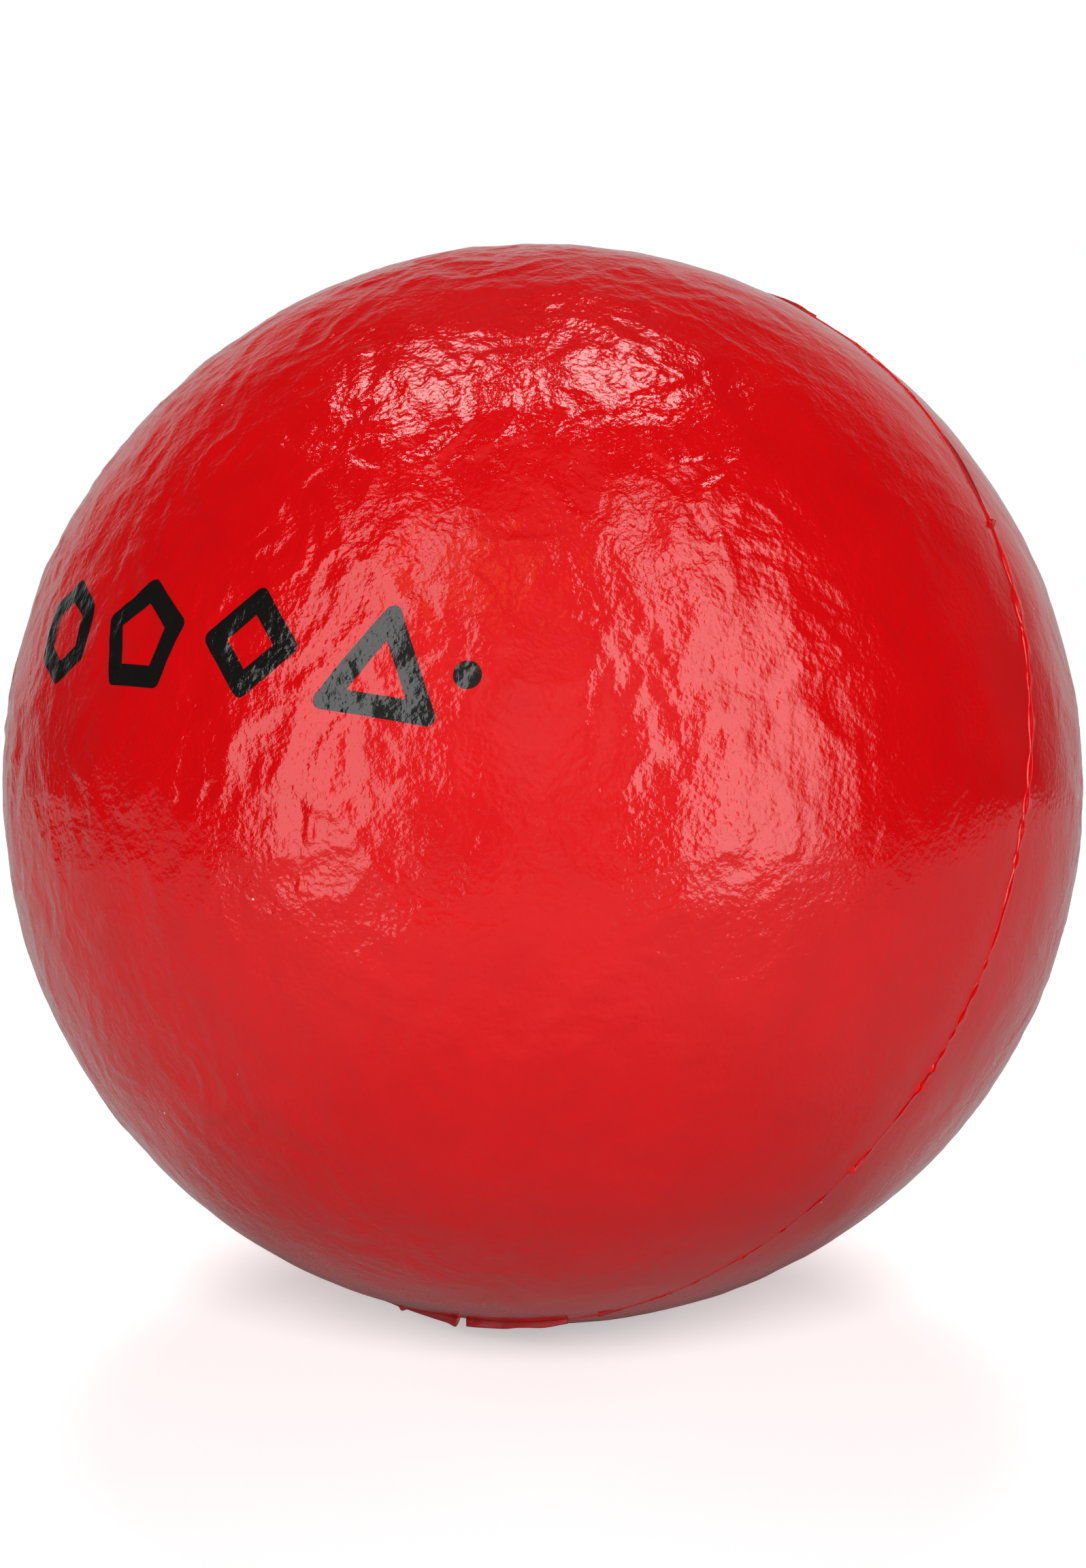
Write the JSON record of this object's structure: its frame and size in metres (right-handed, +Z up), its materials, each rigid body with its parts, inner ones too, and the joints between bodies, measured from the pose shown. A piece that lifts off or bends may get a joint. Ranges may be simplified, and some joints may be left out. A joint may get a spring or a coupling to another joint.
{
  "type": "foam playground ball",
  "caption": "Coated foam playground ball with a glossy wrinkled skin, a moulded parting line and a row of printed shapes, for throwing, catching and kicking games.",
  "frame": {"origin": "centre of the ball", "axes": "+Z up as the ball lies, -Y to the front; the printed half's pole leans 20 degrees up from -Y, and the row of printed shapes runs level towards +X"},
  "size_m": [0.1616, 0.16, 0.16],
  "materials": {
    "skin": "glossy polyurethane skin, wrinkled grain",
    "flash": "trimmed moulding edge, satin",
    "ink": "semi-gloss flexible ink",
    "foam": "matte open-cell foam"
  },
  "bodies": {
    "root": {"foam_core": "foam", "skin_print_half": "skin", "skin_plain_half": "skin", "seam_flash": "flash", "print_hexagon": "ink", "print_pentagon": "ink", "print_diamond": "ink", "print_triangle": "ink", "print_dot": "ink"}
  },
  "joints": []
}
